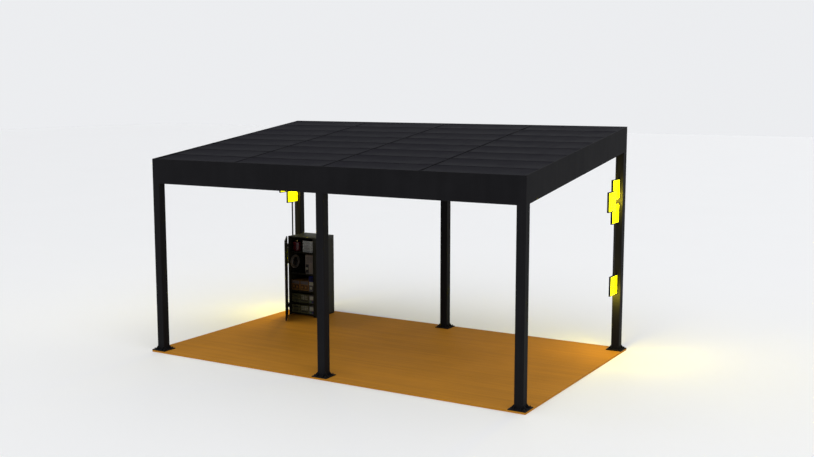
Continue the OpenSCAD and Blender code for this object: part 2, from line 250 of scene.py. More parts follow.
def panel_finish(colour):
    """Matt roof sheet: faint rolled lines across the slope, water marks and dust."""
    paint = Paint("roof_panel_matt", Specular_IOR_Level=0.03)
    rolled = paint.noise(1.0, 3.0, where=paint.stretched((0.7, 70.0, 70.0)))
    marks = paint.noise(3.2, 5.0, 0.6).smooth(0.42, 0.72)
    speck = paint.noise(160.0, 2.0).smooth(0.62, 0.78)
    base = paint.mix(marks * 0.7 + rolled * 0.3, shade(colour, 0.88), shade(colour, 1.16))
    paint.feed("Base Color", paint.mix(speck * 0.35, base, shade(colour, 1.9)))
    paint.feed("Roughness", 0.56 + marks * 0.10 + rolled * 0.06)
    paint.bump(rolled * 0.5 + speck * 0.5, 0.10, 0.0006)
    return paint.material


def glow_finish(colour, strength):
    """Luminous pane: even light with a faint cloud, a little stronger than its surroundings."""
    paint = Paint("lamp_glow", Roughness=0.6, Specular_IOR_Level=0.1, Emission_Strength=strength)
    cloud = paint.noise(7.0, 2.0).smooth(0.3, 0.7)
    paint.feed("Base Color", paint.mix(cloud, shade(colour, 0.90), colour))
    paint.feed("Emission Color", paint.mix(cloud, shade(colour, 0.94), colour))
    return paint.material


def rubber(name, colour):
    paint = Paint(name, Specular_IOR_Level=0.02)
    wear = paint.noise(30.0, 4.0).smooth(0.45, 0.75)
    paint.feed("Base Color", paint.mix(wear, colour, shade(colour, 1.8)))
    paint.feed("Roughness", 0.82 - wear * 0.12)
    paint.bump(paint.noise(300.0, 2.0), 0.2, 0.0005)
    return paint.material


def make_finishes(colours):
    """Every finish by the name that pieces ask for."""
    return {
        "metal": coated("frame_powder_coat", colours.metal, 0.55, Specular_IOR_Level=0.04),
        "lamp_metal": coated("lamp_frame_coat", (0.010, 0.010, 0.008), 0.45, Specular_IOR_Level=0.16),
        "panel": panel_finish(colours.panel),
        "floor": floor_finish(colours.floor),
        "glow": glow_finish(colours.lamp, 2.5),
        "cabinet": coated("cabinet_coat", colours.cabinet, 0.48, coat_grain=600.0, Specular_IOR_Level=0.14),
        "door": coated("door_coat", shade(colours.cabinet, 0.6), 0.50, coat_grain=600.0, Specular_IOR_Level=0.16),
        "steel": metal("hinge_steel", (0.42, 0.42, 0.41), 0.32),
        "zinc": metal("zinc_plate", (0.30, 0.31, 0.32), 0.42, (60.0, 60.0, 60.0)),
        "brass": metal("terminal_brass", (0.62, 0.46, 0.20), 0.30, (200.0, 200.0, 200.0)),
        # Very dark rubber: real seals, and in the roof's joints also painted shade.
        "seal": rubber("seal_rubber_and_gap_shade", (0.0024, 0.0024, 0.0028)),
        "battery": plastic("battery_plastic", (0.075, 0.072, 0.030), 0.55),
        "tan": plastic("terminal_tan", (0.190, 0.090, 0.018), 0.50),
        "cream": plastic("cream_plastic", (0.32, 0.32, 0.25), 0.45),
        "blue": plastic("supply_blue", (0.006, 0.012, 0.085), 0.40),
        "pale": plastic("pale_plastic", (0.170, 0.150, 0.125), 0.48),
        "black": plastic("black_plastic", (0.010, 0.010, 0.011), 0.45),
        "alloy": plastic("inverter_pale", (0.46, 0.48, 0.46), 0.40),
        "grey": plastic("module_grey", (0.110, 0.098, 0.095), 0.50),
        "green": plastic("plug_green", (0.030, 0.130, 0.045), 0.45),
        "red": coated("red_gloss", (0.085, 0.004, 0.007), 0.26, coat_grain=250.0),
    }


FINISHES = {}


# ---------------------------------------------------------------- modelling helpers

def clear_selection():
    if bpy.context.object and bpy.context.object.mode != "OBJECT":
        bpy.ops.object.mode_set(mode="OBJECT")
    bpy.ops.object.select_all(action="DESELECT")


def pick(*pieces):
    """Selects these objects alone, the first one active."""
    clear_selection()
    for piece in pieces:
        piece.select_set(True)
    bpy.context.view_layer.objects.active = pieces[0]


def settle(piece, name):
    """Puts the place, turn and size of a piece into its mesh, so that its object sits at the origin."""
    pick(piece)
    bpy.ops.object.transform_apply(location=True, rotation=True, scale=True)
    piece.name = name
    piece.data.name = name
    return piece


def box(name, low, high):
    """A box between two corners, as a start for a piece."""
    low, high = Vector(low), Vector(high)
    clear_selection()
    bpy.ops.mesh.primitive_cube_add(size=1.0, location=(low + high) / 2, scale=high - low)
    return settle(bpy.context.object, name)


def rod(name, foot, radius, height, sides=32, axis="Z"):
    """A straight round bar that starts at foot and runs along axis."""
    turn = {"X": (0.0, math.pi / 2, 0.0), "Y": (-math.pi / 2, 0.0, 0.0), "Z": (0.0, 0.0, 0.0)}[axis]
    reach = {"X": Vector((1, 0, 0)), "Y": Vector((0, 1, 0)), "Z": Vector((0, 0, 1))}[axis]
    clear_selection()
    bpy.ops.mesh.primitive_cylinder_add(
        vertices=sides, radius=radius, depth=height, location=Vector(foot) + reach * height / 2, rotation=turn)
    return settle(bpy.context.object, name)


def edit_faces(piece, wanted):
    """Enters edit mode with the faces selected whose centre and normal pass the test."""
    pick(piece)
    bpy.ops.object.mode_set(mode="EDIT")
    bpy.ops.mesh.select_mode(type="FACE")
    bpy.ops.mesh.select_all(action="DESELECT")
    bpy.ops.object.mode_set(mode="OBJECT")
    for face in piece.data.polygons:
        face.select = bool(wanted(face.center, face.normal))
    bpy.ops.object.mode_set(mode="EDIT")


def leave_edit():
    bpy.ops.object.mode_set(mode="OBJECT")


def facing(direction, limit=0.9):
    """A test for faces that look along a direction."""
    aim = Vector(direction)
    return lambda centre, normal: normal.dot(aim) > limit


def inset_faces(piece, wanted, thickness, depth=0.0, each=False):
    """Insets the chosen faces and moves them along their normals; a negative depth sinks them."""
    edit_faces(piece, wanted)
    bpy.ops.mesh.inset(thickness=thickness, depth=depth, use_individual=each)
    leave_edit()
    return piece


def extrude_faces(piece, wanted, move):
    """Pulls the chosen faces out by a vector."""
    edit_faces(piece, wanted)
    bpy.ops.mesh.extrude_region_move(TRANSFORM_OT_translate={"value": tuple(move)})
    leave_edit()
    return piece


def round_edges(piece, width, segments=2, angle=30.0):
    """Bevels the sharp edges and smooths the rest."""
    pick(piece)
    bevel = piece.modifiers.new("edges", "BEVEL")
    bevel.width = width
    bevel.segments = segments
    bevel.limit_method = "ANGLE"
    bevel.angle_limit = math.radians(angle)
    bevel.harden_normals = False
    bpy.ops.object.modifier_apply(modifier=bevel.name)
    bpy.ops.object.shade_smooth_by_angle(angle=math.radians(25.0))
    return piece


def copy_at(piece, matrix):
    """A copy with its own mesh, moved by a matrix."""
    copy = piece.copy()
    copy.data = piece.data.copy()
    bpy.context.scene.collection.objects.link(copy)
    copy.data.transform(matrix)
    if matrix.determinant() < 0:
        copy.data.flip_normals()
    return copy


def spread(piece, places, name):
    """Copies a modelled piece to each place, joins the copies and removes the first one."""
    copies = [copy_at(piece, m if isinstance(m, Matrix) else Matrix.Translation(m)) for m in places]
    bpy.data.objects.remove(piece)
    return join(copies, name)


def join(pieces, name):
    pick(*pieces)
    if len(pieces) > 1:
        bpy.ops.object.join()
    joined = bpy.context.object
    joined.name = name
    joined.data.name = name
    return joined


def finish_piece(piece, finish, body=STRUCTURE, stands_for=()):
    """Gives a piece its material unless it has some, and lets it ride on its body."""
    if finish:
        piece.data.materials.clear()
        piece.data.materials.append(FINISHES[finish])
    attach(piece, body)
    if stands_for:
        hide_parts(*stands_for)
    return piece


def painted(piece, finish):
    """Sets the one material of a part that will be joined into a piece."""
    piece.data.materials.clear()
    piece.data.materials.append(FINISHES[finish])
    return piece


def coat_nodes(names, finish):
    """A carried-over CAD node keeps its shape and gets a finish."""
    for name in names:
        node = frame["nodes"][name]
        node.data.materials.clear()
        node.data.materials.append(FINISHES[finish])


def roof_plane():
    """Slope of the roof and the height of its top plane over the middle."""
    low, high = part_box("beam_left")
    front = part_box("beam_front")
    rise = (high.z - front[1].z) / (high.y - front[1].y)
    return rise, high.z - rise * high.y


def roof_height(y):
    rise, middle = roof_plane()
    return middle + rise * y


def shear():
    """Matrix that lays a flat piece, modelled with its top at z = 0, into the roof's plane."""
    rise, middle = roof_plane()
    return Matrix(((1, 0, 0, 0), (0, 1, 0, 0), (0, rise, 1, middle), (0, 0, 0, 1)))


def sizes():
    return bpy.context.scene.pergola_sizes


# ---------------------------------------------------------------- structure

class MakeFinishes(bpy.types.Operator):
    """Make every material and coat the CAD nodes that keep their shape"""
    bl_idname = "pergola.finishes"
    bl_label = "Finishes"

    def execute(self, context):
        FINISHES.update(make_finishes(context.scene.pergola_colours))
        frame_nodes = [n for n in frame["nodes"] if n.startswith(("post_", "base_", "beam_", "rafter_"))]
        coat_nodes(frame_nodes + ["roof_rails"], "metal")
        coat_nodes([f"roof_panels_{i}" for i in range(1, 5)], "panel")
        coat_nodes(["floor_deck"], "floor")
        coat_nodes([n for n in frame["nodes"] if n.startswith(("lamp_frames", "lamp_rods"))], "lamp_metal")
        coat_nodes([n for n in frame["nodes"] if n.startswith("lamp_panes")], "glow")
        coat_nodes([n for n in frame["nodes"] if n.startswith("cabinet_")], "cabinet")
        coat_nodes(["cabinet_door"], "door")
        coat_nodes(["cabinet_hinges"], "steel")
        coat_nodes(["battery_modules"], "battery")
        coat_nodes(["terminal_boxes"], "tan")
        coat_nodes(["supply_unit"], "blue")
        coat_nodes(["power_box", "fan_ring"], "pale")
        coat_nodes(["inverter"], "alloy")
        coat_nodes(["red_canister"], "red")
        return {"FINISHED"}


class MakeRoofPanels(bpy.types.Operator):
    """Framed roof panels with a sunk matt sheet, one piece for each bay"""
    bl_idname = "pergola.roof_panels"
    bl_label = "Roof panels"

    def execute(self, context):
        size = sizes()
        rise, middle = roof_plane()
        thick = panel_thickness()
        for bay in range(1, 5):
            node = f"roof_panels_{bay}"
            covers = []
            for low, high in loose_boxes(node):
                cover = box("cover", (low.x, low.y, -thick), (high.x, high.y, 0.0))
                inset_faces(cover, facing((0, 0, 1)), size.panel_border)
                inset_faces(cover, centred_top(low, high), 0.003, -size.panel_sink)
                inset_faces(cover, facing((0, 0, -1)), size.panel_border * 2, -size.panel_sink * 2)
                round_edges(cover, size.edge_round, 2)
                cover.data.transform(shear())
                covers.append(cover)
            finish_piece(join(covers, f"panel_covers_{bay}"), "panel", stands_for=[node])
        return {"FINISHED"}


def panel_thickness():
    """Thickness of a roof panel measured straight down."""
    low, high = loose_boxes("roof_panels_1")[0]
    rise, middle = roof_plane()
    return (high.z - low.z) - rise * (high.y - low.y)


def centred_top(low, high):
    """A test for the upward face at the middle of a panel, inside its border."""
    middle = (low + high) / 2
    return lambda centre, normal: (normal.z > 0.9 and abs(centre.x - middle.x) < 0.01
                                   and abs(centre.y - middle.y) < 0.01)


def loose_boxes(node):
    """Lowest and highest corners of each loose part of a CAD node, from the front to the back."""
    mesh = frame["nodes"][node].data
    keys = [tuple(round(c, 4) for c in v.co) for v in mesh.vertices]
    parent = {k: k for k in keys}

    def root(k):
        while parent[k] != k:
            parent[k] = parent[parent[k]]
            k = parent[k]
        return k

    for face in mesh.polygons:
        corners = [keys[i] for i in face.vertices]
        for corner in corners[1:]:
            parent[root(corner)] = root(corners[0])
    groups = {}
    for k in parent:
        groups.setdefault(root(k), []).append(k)
    boxes = [(Vector(map(min, *g)), Vector(map(max, *g))) for g in groups.values()]
    return sorted(boxes, key=lambda b: (round(b[0].y, 3), round(b[0].z, 3), round(b[0].x, 3)))


class MakeRoofSeals(bpy.types.Operator):
    """Dark rubber seals at the bottom of the joints between the roof panels, rising to just below the surface; their
    very dark rubber is also painted shade for the joints
    """
    bl_idname = "pergola.roof_seals"
    bl_label = "Roof seals"

    def execute(self, context):
        size = sizes()
        thick = panel_thickness()
        rows = loose_boxes("roof_panels_1")
        columns = [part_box(f"roof_panels_{i}") for i in range(1, 5)]
        skirt = 0.0005
        strips = []
        for before, after in zip(rows, rows[1:]):
            for column in columns:
                strips.append(self.strip((column[0].x, before[1].y + skirt),
                                         (column[1].x, after[0].y - skirt), thick, size.seal_depth))
        front, back = rows[0][0].y, rows[-1][1].y
        for left, right in zip(columns, columns[1:]):
            strips.append(self.strip((left[1].x + skirt, front), (right[0].x - skirt, back),
                                     thick, size.seal_depth))
        finish_piece(join(strips, "roof_seals_and_gap_shade"), "seal")
        return {"FINISHED"}

    @staticmethod
    def strip(low, high, thick, depth):
        """A seal with a raised bead along its middle."""
        made = box("seal", (*low, -thick), (*high, -depth))
        inset_faces(made, facing((0, 0, 1)), 0.007, 0.0015)
        round_edges(made, 0.0015, 2)
        made.data.transform(shear())
        return made


class MakeAnchors(bpy.types.Operator):
    """Anchor bolts with washers and nuts on the base plates"""
    bl_idname = "pergola.anchors"
    bl_label = "Anchor bolts"

    def execute(self, context):
        size = sizes()
        plate_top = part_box("post_front_left")[0].z
        bolt = anchor_bolt(size.bolt_size, plate_top)
        places = []
        for post in POSTS:
            mount = MOUNTS[f"anchors_{post}"]
            x, y, z = mount["pos_m"]
            dx = mount["dims"]["spacing_x_mm"] / 2000
            dy = mount["dims"]["spacing_y_mm"] / 2000
            for index, (sx, sy) in enumerate([(-1, -1), (1, -1), (1, 1), (-1, 1)]):
                turn = Matrix.Rotation(math.radians(17.0 * index), 4, "Z")
                places.append(Matrix.Translation((x + sx * dx, y + sy * dy, 0.0)) @ turn)
        finish_piece(spread(bolt, places, "anchor_bolts"), "lamp_metal")
        welds = [weld_frame(post, plate_top) for post in POSTS]
        finish_piece(join(welds, "base_welds"), "metal")
        return {"FINISHED"}


def anchor_bolt(diameter, plate_top):
    """A stud with a washer and a chamfered hexagon nut, standing on the plate."""
    r = diameter / 2
    washer = rod("washer", (0, 0, plate_top), r * 2.1, 0.0025, 32)
    nut = rod("nut", (0, 0, plate_top + 0.0025), r * 1.73, diameter * 0.85, 6)
    inset_faces(nut, facing((0, 0, 1)), r * 0.14, r * 0.10)
    stud = rod("stud", (0, 0, plate_top + 0.0025), r, diameter * 1.7, 24)
    inset_faces(stud, facing((0, 0, 1)), r * 0.2, r * 0.16)
    for part in (washer, nut, stud):
        round_edges(part, 0.0006, 1)
    return join([washer, nut, stud], "anchor_bolt")


def weld_frame(post, plate_top):
    """The weld fillet around the foot of a post."""
    low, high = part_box(f"post_{post}")
    bead = 0.006
    made = box("weld", (low.x - bead, low.y - bead, plate_top), (high.x + bead, high.y + bead, plate_top + bead))
    edit_faces(made, facing((0, 0, 1)))
    bpy.ops.transform.resize(value=((high.x - low.x) / (high.x - low.x + 2 * bead),
                                    (high.y - low.y) / (high.y - low.y + 2 * bead), 1.0))
    leave_edit()
    return round_edges(made, 0.0015, 2)


class MakeRafterCleats(bpy.types.Operator):
    """Angle cleats with bolts where the rafters meet the front and back beams"""
    bl_idname = "pergola.cleats"
    bl_label = "Rafter cleats"

    def execute(self, context):
        size = sizes()
        leg = size.cleat_leg
        gauge = 0.005
        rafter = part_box("rafter_middle")
        rise, middle = roof_plane()
        depth = panel_thickness()
        height = (rafter[1].z - rafter[0].z) - rise * (rafter[1].y - rafter[0].y)
        cleat = angle_cleat(leg, gauge, height * 0.7, size.bolt_size * 0.8)
        places = []
        for name in ("rafter_left", "rafter_middle", "rafter_right"):
            low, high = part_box(name)
            for end, y in ((1, low.y), (-1, high.y)):
                foot = roof_height(y) - depth - height * 0.85 + (0.5 * rise * leg if end > 0 else -0.5 * rise * leg)
                for side, x in ((1, high.x), (-1, low.x)):
                    flip = Matrix.Diagonal((side, end, 1, 1))
                    places.append(Matrix.Translation((x, y, foot)) @ flip)
        finish_piece(spread(cleat, places, "rafter_cleats"), "zinc")
        return {"FINISHED"}


def angle_cleat(leg, gauge, height, bolt):
    """An angle with one leg along +X on the beam and one along +Y on the rafter, with two bolts in each."""
    plate = box("cleat", (0, 0, 0), (leg, gauge, height))
    wing = box("wing", (0, gauge, 0), (gauge, leg, height))
    parts = [round_edges(plate, 0.001, 2), round_edges(wing, 0.001, 2)]
    for z in (height * 0.28, height * 0.72):
        for axis, foot in (("Y", (leg * 0.62, gauge, z)), ("X", (gauge, leg * 0.62, z))):
            head = rod("head", foot, bolt * 0.85, bolt * 0.6, 6, axis)
            parts.append(round_edges(head, 0.0006, 1))
    return join(parts, "cleat")


# ---------------------------------------------------------------- lamps

class MakeLamps(bpy.types.Operator):
    """Rounded lamp frames with corner screws, panes with a soft edge, and brackets on the posts"""
    bl_idname = "pergola.lamps"
    bl_label = "Lamps"

    def execute(self, context):
        size = sizes()
        for side in ("left", "right"):
            frames, screws = [], []
            panes = loose_boxes(f"lamp_panes_{side}")
            for index, (low, high) in enumerate(loose_boxes(f"lamp_frames_{side}")):
                frames.append(lamp_frame(low, high, panes[index]))
                screws += frame_screws(low, high, size.screw_size)
            frames += [post_bracket(side, low, high) for low, high in loose_boxes(f"lamp_frames_{side}")
                       if abs(high.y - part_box(f"post_back_{side}")[0].y) < 0.002]
            finish_piece(join(frames, f"lamp_housings_{side}"), "lamp_metal",
                         stands_for=[f"lamp_frames_{side}"])
            finish_piece(join(screws, f"lamp_screws_{side}"), "zinc")
            lit = [lamp_pane(low, high) for low, high in panes]
            finish_piece(join(lit, f"lamp_diffusers_{side}"), "glow",
                         stands_for=[f"lamp_panes_{side}"])
            clips = rod_clips(side)
            finish_piece(join(clips, f"rod_collars_{side}"), "lamp_metal")
        return {"FINISHED"}


def lamp_frame(low, high, pane):
    """A square frame: a box whose two faces are inset and joined through."""
    inner = pane[0].y - low.y
    made = box("frame", low, high)
    edit_faces(made, lambda c, n: abs(n.x) > 0.9)
    bpy.ops.mesh.inset(thickness=inner, use_individual=True)
    leave_edit()
    middle = (low + high) / 2
    edit_faces(made, lambda c, n: abs(n.x) > 0.9 and abs(c.y - middle.y) < 1e-4 and abs(c.z - middle.z) < 1e-4)
    bpy.ops.mesh.bridge_edge_loops()
    leave_edit()
    return round_edges(made, 0.0025, 3)


def lamp_pane(low, high):
    """A luminous plate with softly rounded edges."""
    made = box("pane", low, high)
    inset_faces(made, lambda c, n: abs(n.x) > 0.9, 0.006, 0.0015, each=True)
    return round_edges(made, 0.0015, 2)


def frame_screws(low, high, head):
    """Four screw heads in the corners of a frame's two faces."""
    edge = 0.0065
    made = []
    for y in (low.y + edge, high.y - edge):
        for z in (low.z + edge, high.z - edge):
            for x in (high.x - 0.0002, low.x - 0.0013):
                made.append(round_edges(rod("screw", (x, y, z), head * 0.45, 0.0015, 16, "X"), 0.0005, 1))
    return made


def post_bracket(side, low, high):
    """An angle bracket: one leg on the lamp's outer side, the other on the post's face."""
    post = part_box(f"post_back_{side}")[0]
    middle = (low.z + high.z) / 2
    gauge, leg, half = 0.004, 0.030, 0.045
    made = box("bracket", (low.x - gauge, post.y - leg, middle - half), (low.x, post.y, middle + half))
    split_at(made, post.y - gauge)
    extrude_faces(made, lambda c, n: n.x < -0.9 and c.y > post.y - gauge, (gauge - leg, 0, 0))
    return round_edges(made, 0.001, 2)


def split_at(piece, y):
    """Cuts a piece's faces along a plane across Y, so that a strip of them can be pulled out."""
    pick(piece)
    bpy.ops.object.mode_set(mode="EDIT")
    bpy.ops.mesh.select_all(action="SELECT")
    bpy.ops.mesh.bisect(plane_co=(0, y, 0), plane_no=(0, 1, 0))
    leave_edit()


def rod_clips(side):
    """Collars at the ends of the rods between the lamps."""
    made = []
    for low, high in loose_boxes(f"lamp_rods_{side}"):
        middle = (low + high) / 2
        radius = (high.x - low.x) / 2
        for z in (low.z, high.z - 0.012):
            collar = rod("collar", (middle.x, middle.y, z), radius * 1.25, 0.012, 32)
            made.append(round_edges(collar, 0.002, 2))
    return made


# ---------------------------------------------------------------- cabinet

def cabinet_box():
    """Lowest and highest corners of the cabinet without its door."""
    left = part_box("cabinet_left_side")
    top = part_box("cabinet_top")
    return Vector((left[0].x, left[0].y, left[0].z)), Vector(top[1])


class MakeCabinetTrim(bpy.types.Operator):
    """Rounded cabinet panels with sunk fields, and shelves with lips"""
    bl_idname = "pergola.cabinet_trim"
    bl_label = "Cabinet trim"

    def execute(self, context):
        size = sizes()
        for node in ("left_side", "right_side", "back", "top", "stile", "bottom"):
            name = f"cabinet_{node}"
            low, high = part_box(name)
            panel = box(name, low, high)
            if node in ("left_side", "right_side", "back"):
                out = {"left_side": (-1, 0, 0), "right_side": (1, 0, 0), "back": (0, 1, 0)}[node]
                inset_faces(panel, facing(out), 0.045)
                inset_faces(panel, centred(low, high, out), 0.004, -0.003)
            finish_piece(round_edges(panel, size.edge_round, 2), "cabinet",
                         stands_for=[name]).name = f"{node}_panel"
        shelves = []
        for low, high in loose_boxes("cabinet_shelves"):
            shelf = box("shelf", low, high)
            shelves.append(round_edges(shelf, size.edge_round, 2))
            lip = box("lip", (low.x, low.y, high.z - 0.001), (high.x, low.y + 0.003, high.z + 0.006))
            shelves.append(round_edges(lip, 0.001, 2))
        finish_piece(join(shelves, "shelf_boards"), "cabinet",
                     stands_for=["cabinet_shelves"])
        return {"FINISHED"}


def centred(low, high, out):
    """A test for the face that looks out from the middle of a box's side."""
    aim = Vector(out)
    middle = (low + high) / 2

    def test(centre, normal):
        offset = centre - middle
        offset -= aim * offset.dot(aim)
        return normal.dot(aim) > 0.9 and offset.length < 0.01
    return test


class MakeDoor(bpy.types.Operator):
    """Seal, inner pan with stiffening bars and latch plate on the door leaf"""
    bl_idname = "pergola.cabinet_door"
    bl_label = "Cabinet door"

    def execute(self, context):
        pivot = Vector((HINGE["pos_m"][0], HINGE["pos_m"][1], 0.0))
        turn = Matrix.Translation(pivot) @ Matrix.Rotation(-DOOR_REST, 4, "Z")
        back = turn.inverted()
        points = [back @ v.co for v in frame["nodes"]["cabinet_door"].data.vertices]
        leaf = [p for p in points if p.x > 0.03]
        low = Vector((min(p.x for p in points if p.y < -0.0201), min(p.y for p in leaf), min(p.z for p in leaf)))
        high = Vector([max(p[i] for p in leaf) for i in range(3)])
        seal = box("seal", (low.x + 0.012, high.y, low.z + 0.015), (high.x - 0.012, high.y + 0.003, high.z - 0.015))
        edit_faces(seal, lambda c, n: abs(n.y) > 0.9)
        bpy.ops.mesh.inset(thickness=0.012, use_individual=True)
        leave_edit()
        centre = (Vector((low.x, 0, low.z)) + Vector((high.x, 0, high.z))) / 2
        edit_faces(seal, lambda c, n: abs(n.y) > 0.9 and abs(c.x - centre.x) < 1e-3 and abs(c.z - centre.z) < 1e-3)
        bpy.ops.mesh.bridge_edge_loops()
        leave_edit()
        round_edges(seal, 0.001, 2)
        seal.data.transform(turn)
        seal.name = "door_seal"
        finish_piece(seal, "seal", DOOR)
        pan = box("door_pan", (low.x + 0.04, high.y, low.z + 0.05), (high.x - 0.04, high.y + 0.0025, high.z - 0.05))
        inset_faces(pan, facing((0, 1, 0)), 0.02, 0.0015)
        stiff = []
        for share in (0.25, 0.5, 0.75):
            z = low.z + (high.z - low.z) * share
            bar = box("bar", (low.x + 0.08, high.y + 0.003, z - 0.02), (high.x - 0.08, high.y + 0.0045, z + 0.02))
            stiff.append(round_edges(bar, 0.001, 2))
        round_edges(pan, 0.001, 2)
        inner = join([pan, *stiff], "door_inner_pan")
        inner.data.transform(turn)
        finish_piece(inner, "door", DOOR)
        lock = rod("lock", (high.x - 0.035, high.y, (low.z + high.z) / 2), 0.012, 0.0025, 32, "Y")
        inset_faces(lock, facing((0, 1, 0)), 0.004, 0.0008)
        tongue = box("tongue", (high.x - 0.04, high.y + 0.001, (low.z + high.z) / 2 - 0.02),
                     (high.x - 0.03, high.y + 0.0032, (low.z + high.z) / 2 + 0.02))
        latch = join([round_edges(lock, 0.0006, 1), round_edges(tongue, 0.0008, 1)], "door_latch")
        latch.data.transform(turn)
        finish_piece(latch, "steel", DOOR)
        return {"FINISHED"}


class MakeBatteries(bpy.types.Operator):
    """Battery modules: plain ones on the left, ones with cell caps in the middle, grey ones with plugs"""
    bl_idname = "pergola.batteries"
    bl_label = "Battery modules"

    def execute(self, context):
        boxes = loose_boxes("battery_modules")
        columns = sorted({round(low.x, 3) for low, high in boxes})
        faces = (grip_face, cell_face, plug_face)
        parts = []
        for low, high in boxes:
            column = columns.index(round(low.x, 3))
            case = unit_case(low, high, 0.004, lid=0.022)
            parts.append(painted(case, "grey" if column == 2 else "battery"))
            parts += faces[column](low, high)
        finish_piece(join(parts, "battery_cases"), None, stands_for=["battery_modules"])
        return {"FINISHED"}


def unit_case(low, high, rounding, lid=0.0):
    """A cased unit: a rounded box whose front is sunk inside a rim, with a groove under its lid."""
    case = box("case", low, high)
    inset_faces(case, facing((0, -1, 0)), 0.006)
    inset_faces(case, centred(low, high, (0, -1, 0)), 0.001, -0.003)
    round_edges(case, min(rounding, 0.002), 2)
    if not lid:
        return case
    groove = box("groove", (low.x - 0.0, low.y - 0.0015, high.z - lid - 0.002), (high.x, low.y + 0.001, high.z - lid))
    return join([case, round_edges(groove, 0.0004, 1)], "case")


def face_pad(low, high, across, up, proud, finish, edge=0.0012):
    """A raised pad on a unit's front; across and up are shares of the front's width and height."""
    wide, tall = high.x - low.x, high.z - low.z
    pad = box("pad", (low.x + wide * across[0], low.y - proud, low.z + tall * up[0]),
              (low.x + wide * across[1], low.y + 0.005, low.z + tall * up[1]))
    inset_faces(pad, facing((0, -1, 0)), 0.002, 0.0006)
    return painted(round_edges(pad, edge, 2), finish)


def face_knob(low, high, across, up, radius, proud, finish):
    """A round knob, terminal or screw on a unit's front."""
    foot = (low.x + (high.x - low.x) * across, low.y - proud, low.z + (high.z - low.z) * up)
    knob = rod("knob", foot, radius, proud + 0.004, 20, "Y")
    inset_faces(knob, facing((0, -1, 0)), radius * 0.35, radius * 0.10)
    return painted(round_edges(knob, radius * 0.12, 2), finish)


def grip_face(low, high):
    """A plain front with a grip, a louvred vent and two terminals."""
    made = [face_pad(low, high, (0.30, 0.70), (0.70, 0.78), 0.010, "black")]
    made += [face_pad(low, high, (0.28, 0.72), (0.14 + 0.07 * k, 0.165 + 0.07 * k), 0.0015, "black", 0.0004)
             for k in range(4)]
    made += [face_knob(low, high, across, 0.48, 0.006, 0.004, "brass") for across in (0.12, 0.88)]
    return made


def cell_face(low, high):
    """A front with three rows of pale cell caps and a row of dark links under them."""
    made = [face_knob(low, high, 0.20 + 0.20 * k, up, 0.0085, 0.005, "cream")
            for up in (0.86, 0.67, 0.48) for k in range(4)]
    made += [face_pad(low, high, (0.13 + 0.20 * k, 0.25 + 0.20 * k), (0.16, 0.30), 0.003, "black") for k in range(4)]
    return made


def plug_face(low, high):
    """A grey front with a pale cover, green and blue plugs and two screws."""
    made = [face_pad(low, high, (0.08, 0.74), (0.46, 0.90), 0.004, "cream")]
    made += [face_pad(low, high, (0.10 + 0.26 * k, 0.28 + 0.26 * k), (0.14, 0.30), 0.007, finish)
             for k, finish in enumerate(("green", "blue", "black"))]
    made += [face_knob(low, high, 0.87, up, 0.005, 0.002, "zinc") for up in (0.82, 0.20)]
    return made


class MakeTerminalBoxes(bpy.types.Operator):
    """Terminal boxes with covers, terminal blocks and brass screws, and the blue supply unit"""
    bl_idname = "pergola.terminal_boxes"
    bl_label = "Terminal boxes"

    def execute(self, context):
        parts = []
        for index, (low, high) in enumerate(sorted(loose_boxes("terminal_boxes"), key=lambda b: b[0].x)):
            last = index == 2
            parts.append(painted(unit_case(low, high, 0.003), "grey" if last else "tan"))
            parts.append(face_pad(low, high, (0.04, 0.96), (0.64, 0.96), 0.004, "cream" if last else "grey"))
            for k in range(2):
                across = (0.10 + 0.42 * k, 0.46 + 0.42 * k)
                parts.append(face_pad(low, high, across, (0.16, 0.54), 0.003, "black"))
                inner = (across[0] + 0.05, across[1] - 0.05)
                parts.append(face_pad(low, high, inner, (0.21, 0.49), 0.006, "cream" if last else "tan"))
                parts.append(face_knob(low, high, sum(inner) / 2, 0.35, 0.006, 0.010, "brass"))
        finish_piece(join(parts, "terminal_box_cases"), None, stands_for=["terminal_boxes"])
        low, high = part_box("supply_unit")
        parts = [painted(unit_case(low, high, 0.003), "blue")]
        parts += [face_pad(low, high, (0.10, 0.52), (0.20 + 0.09 * k, 0.235 + 0.09 * k), 0.001, "black", 0.0004)
                  for k in range(7)]
        parts.append(face_pad(low, high, (0.60, 0.92), (0.56, 0.84), 0.002, "black"))
        parts.append(face_knob(low, high, 0.76, 0.30, 0.012, 0.010, "cream"))
        finish_piece(join(parts, "supply_case"), None, stands_for=["supply_unit"])
        return {"FINISHED"}


class MakePowerBox(bpy.types.Operator):
    """Pale power box with a sunk breaker field and ribbed upper cover"""
    bl_idname = "pergola.power_box"
    bl_label = "Power box"

    def execute(self, context):
        low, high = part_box("power_box")
        parts = [painted(unit_case(low, high, 0.003), "pale")]
        parts.append(face_pad(low, high, (0.06, 0.36), (0.06, 0.50), 0.002, "black"))
        parts += [face_pad(low, high, (0.09 + 0.065 * k, 0.13 + 0.065 * k), (0.22, 0.34), 0.007, "cream", 0.0008)
                  for k in range(4)]
        parts += [face_pad(low, high, (0.12, 0.88), (0.60 + 0.065 * k, 0.625 + 0.065 * k), 0.002, "grey", 0.0008)
                  for k in range(5)]
        parts += [face_knob(low, high, across, up, 0.005, 0.002, "zinc")
                  for across in (0.05, 0.95) for up in (0.04, 0.96)]
        finish_piece(join(parts, "power_box_case"), None, stands_for=["power_box"])
        return {"FINISHED"}


